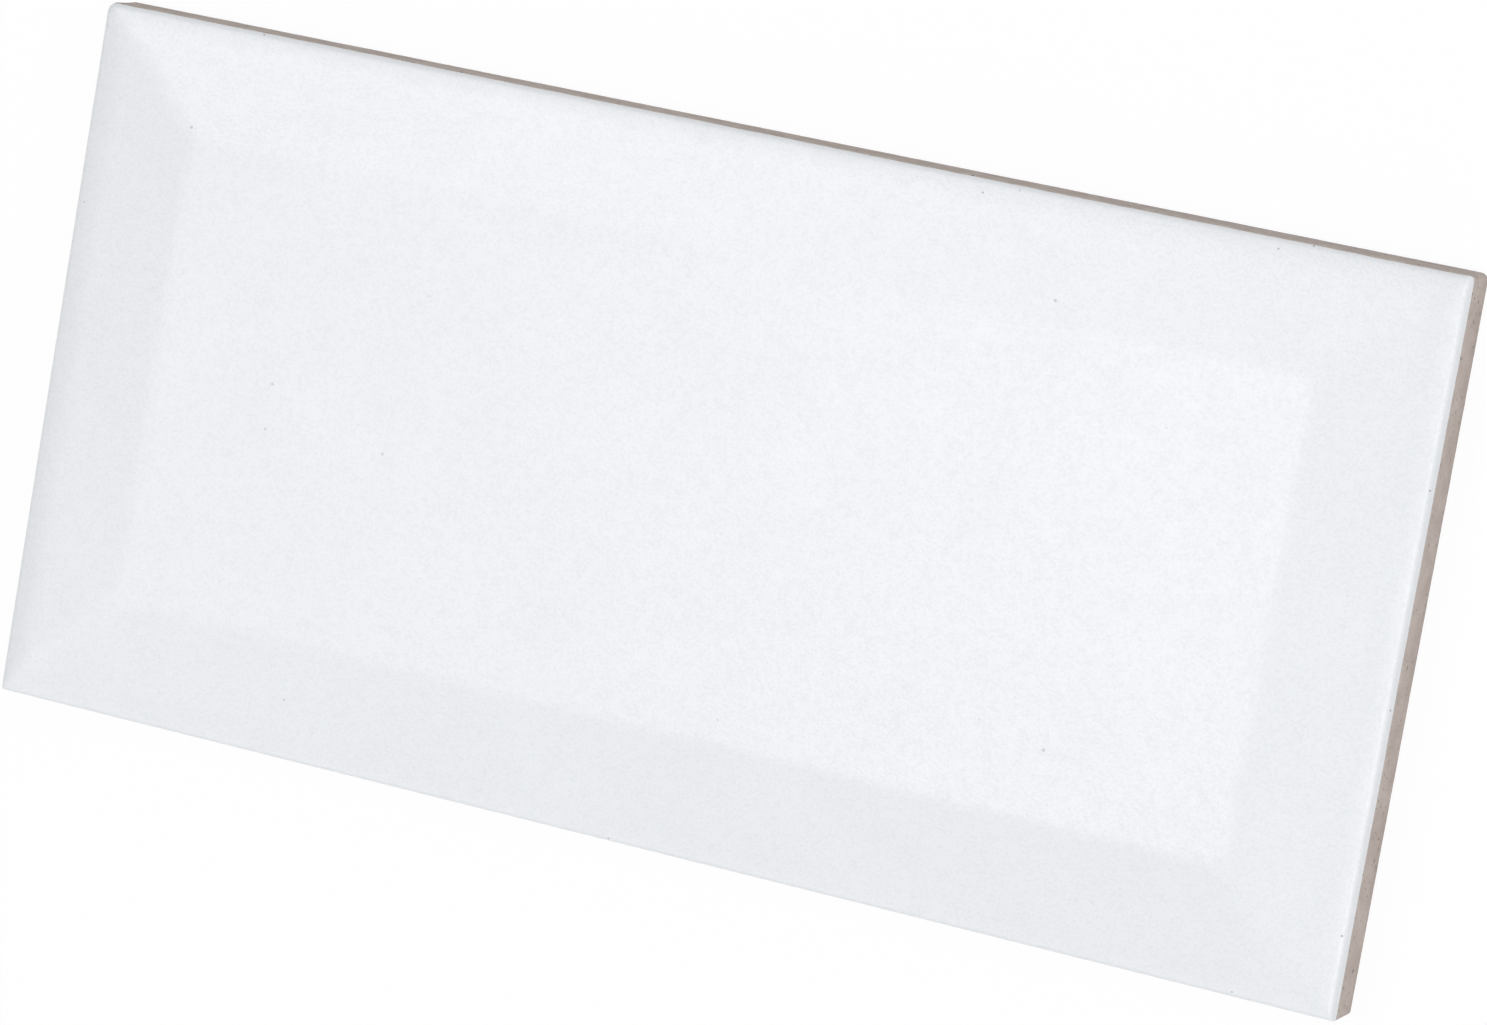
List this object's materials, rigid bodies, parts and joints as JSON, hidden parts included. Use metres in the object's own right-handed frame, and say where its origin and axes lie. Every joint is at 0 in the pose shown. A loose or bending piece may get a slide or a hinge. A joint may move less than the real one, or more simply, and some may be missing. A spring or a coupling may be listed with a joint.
{
  "type": "bevelled subway wall tile",
  "caption": "Oblong ceramic wall tile with a raised flat panel inside wide mitred bevels, satin white glaze on the face and a bare keyed back for bedding in adhesive.",
  "frame": {"origin": "middle of the bedding plane at the back of the tile", "axes": "+X along the length, +Y across the width, +Z out of the glazed face; the tile lies on its back with the face up"},
  "size_m": [0.148, 0.073, 0.008],
  "materials": {
    "glazed_tile": "satin-matt cool white glaze on face and shoulders; bare pinkish grey fired clay on walls and back"
  },
  "bodies": {
    "root": {"wall_tile": "glazed_tile"}
  },
  "joints": []
}
